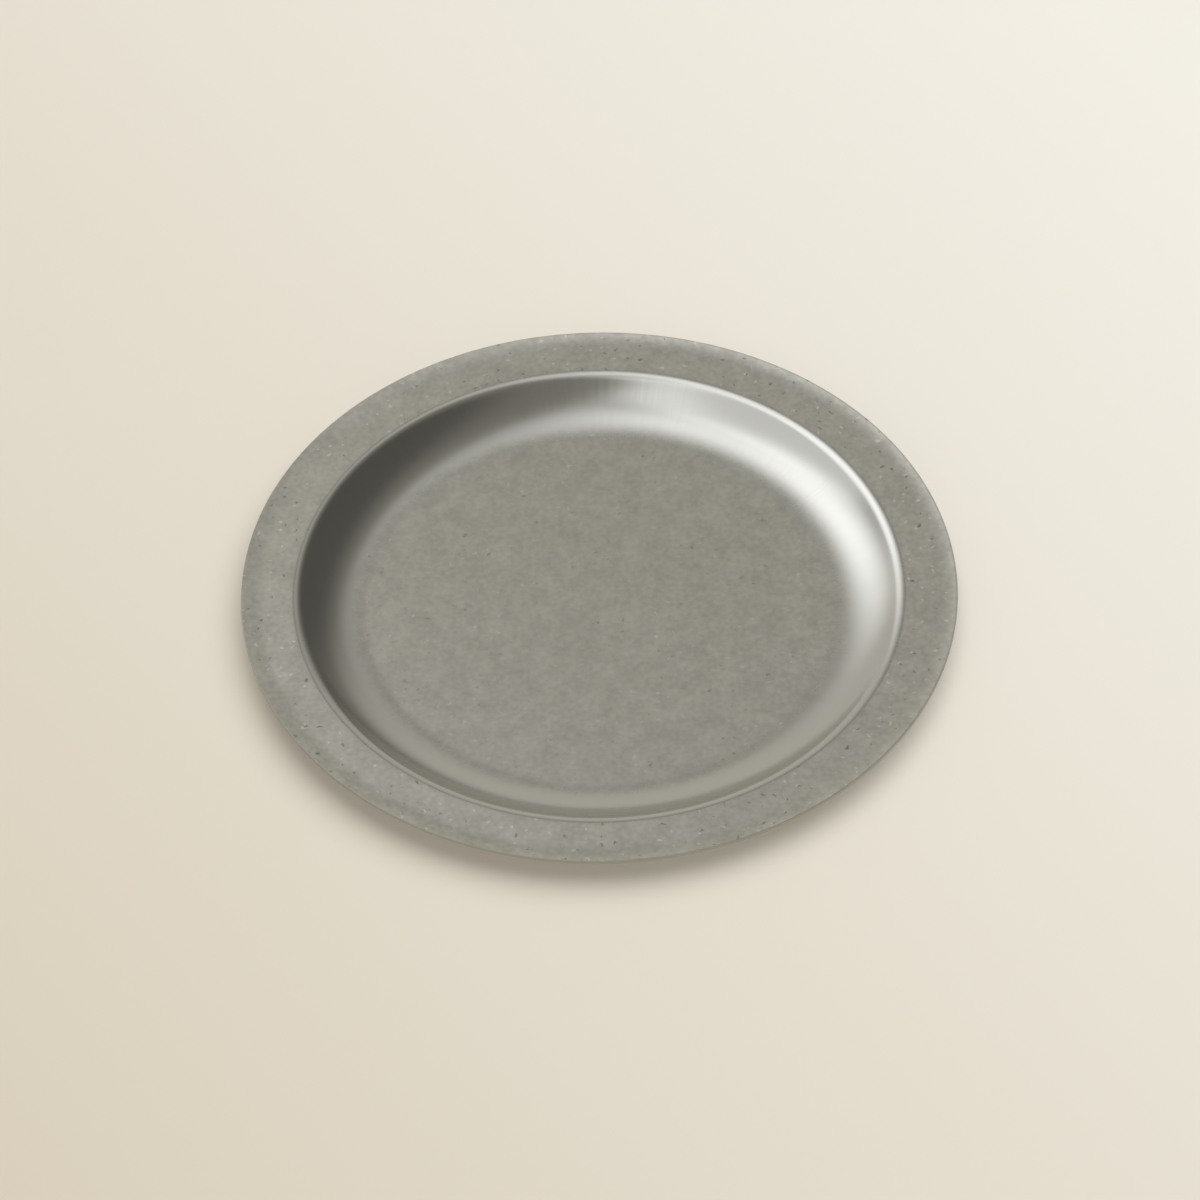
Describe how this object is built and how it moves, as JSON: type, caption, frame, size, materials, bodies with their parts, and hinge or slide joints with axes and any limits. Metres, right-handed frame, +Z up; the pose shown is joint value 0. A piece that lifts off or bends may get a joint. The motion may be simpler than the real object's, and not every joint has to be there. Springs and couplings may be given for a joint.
{
  "type": "dessert plate",
  "caption": "Round dessert plate pressed from stonewashed stainless sheet, with a flat floor, a shallow rounded well and a level rim with a lifted edge.",
  "frame": {"origin": "middle of the flat underside that the plate rests on", "axes": "+Z up along the plate's axis of revolution, out of the open side of the well; X and Y lie in the table plane"},
  "size_m": [0.19, 0.19, 0.0084],
  "materials": {
    "steel": "stonewashed, satin"
  },
  "bodies": {
    "root": {"plate": "steel"}
  },
  "joints": []
}
